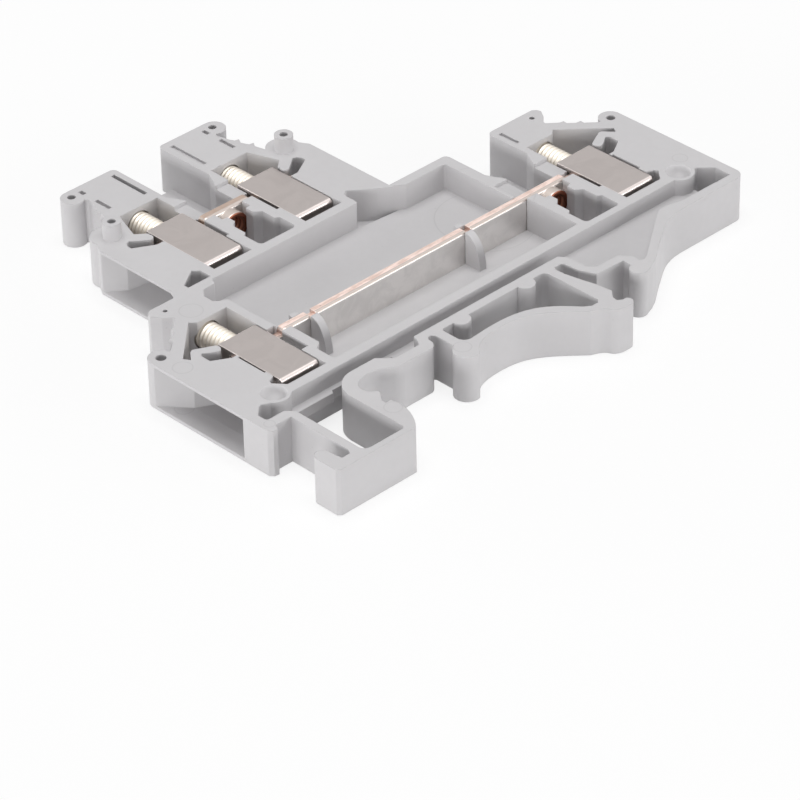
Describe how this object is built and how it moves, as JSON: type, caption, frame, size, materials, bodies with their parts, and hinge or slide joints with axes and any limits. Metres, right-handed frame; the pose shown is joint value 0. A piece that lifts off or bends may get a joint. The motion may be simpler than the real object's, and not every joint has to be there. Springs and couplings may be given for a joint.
{
  "type": "double-level terminal block",
  "caption": "Slim two-level feed-through terminal block module, open on one side, with screw clamps on both levels, current bars and a spring foot for a 35 mm rail.",
  "frame": {"origin": "under the middle of the whole outline, on the closed side that the module lies on", "axes": "+X along the rail foot from the hook's side to the catch's side, +Y up from the foot to the upper level, +Z out of the open side, along the rail"},
  "size_m": [0.0658, 0.056, 0.0071],
  "materials": {
    "housing_plastic": "matte moulded polyamide, light grey",
    "plated_copper": "tin plated copper, copper red on its cut edges",
    "nickel_plate": "satin nickel plated folded sheet",
    "zinc_plate": "satin zinc plated"
  },
  "bodies": {
    "shell": {"housing": "housing_plastic", "lower_current_bar": "plated_copper", "upper_current_bar": "plated_copper"},
    "lower_left_screw": {"lower_left_clamp_screw": "zinc_plate"},
    "lower_left_sleeve": {"lower_left_clamp_sleeve": "nickel_plate"},
    "lower_right_screw": {"lower_right_clamp_screw": "zinc_plate"},
    "lower_right_sleeve": {"lower_right_clamp_sleeve": "nickel_plate"},
    "upper_left_screw": {"upper_left_clamp_screw": "zinc_plate"},
    "upper_left_sleeve": {"upper_left_clamp_sleeve": "nickel_plate"},
    "upper_right_screw": {"upper_right_clamp_screw": "zinc_plate"},
    "upper_right_sleeve": {"upper_right_clamp_sleeve": "nickel_plate"}
  },
  "joints": [
    {"name": "lower_left_screw_turn", "type": "hinge", "parent": "shell", "child": "lower_left_screw", "pos_m": [-0.02365, -0.0018, 0.00305], "axis": [0, -1, 0], "range_deg": [0, 2520]},
    {"name": "lower_left_sleeve_slide", "type": "slide", "parent": "shell", "child": "lower_left_sleeve", "axis": [0, 1, 0], "range_m": [0, 0.0035]},
    {"name": "lower_right_screw_turn", "type": "hinge", "parent": "shell", "child": "lower_right_screw", "pos_m": [0.02365, -0.0018, 0.00305], "axis": [0, -1, 0], "range_deg": [0, 2520]},
    {"name": "lower_right_sleeve_slide", "type": "slide", "parent": "shell", "child": "lower_right_sleeve", "axis": [0, 1, 0], "range_m": [0, 0.0035]},
    {"name": "upper_left_screw_turn", "type": "hinge", "parent": "shell", "child": "upper_left_screw", "pos_m": [-0.01475, 0.0188, 0.00305], "axis": [0, -1, 0], "range_deg": [0, 2520]},
    {"name": "upper_left_sleeve_slide", "type": "slide", "parent": "shell", "child": "upper_left_sleeve", "axis": [0, 1, 0], "range_m": [0, 0.0035]},
    {"name": "upper_right_screw_turn", "type": "hinge", "parent": "shell", "child": "upper_right_screw", "pos_m": [-0.00225, 0.0188, 0.00305], "axis": [0, -1, 0], "range_deg": [0, 2520]},
    {"name": "upper_right_sleeve_slide", "type": "slide", "parent": "shell", "child": "upper_right_sleeve", "axis": [0, 1, 0], "range_m": [0, 0.0035]}
  ],
  "couplings": [
    {"joint": "lower_left_screw_turn", "follows": "lower_left_sleeve_slide", "rad_per_m": 12566},
    {"joint": "lower_right_screw_turn", "follows": "lower_right_sleeve_slide", "rad_per_m": 12566},
    {"joint": "upper_left_screw_turn", "follows": "upper_left_sleeve_slide", "rad_per_m": 12566},
    {"joint": "upper_right_screw_turn", "follows": "upper_right_sleeve_slide", "rad_per_m": 12566}
  ]
}
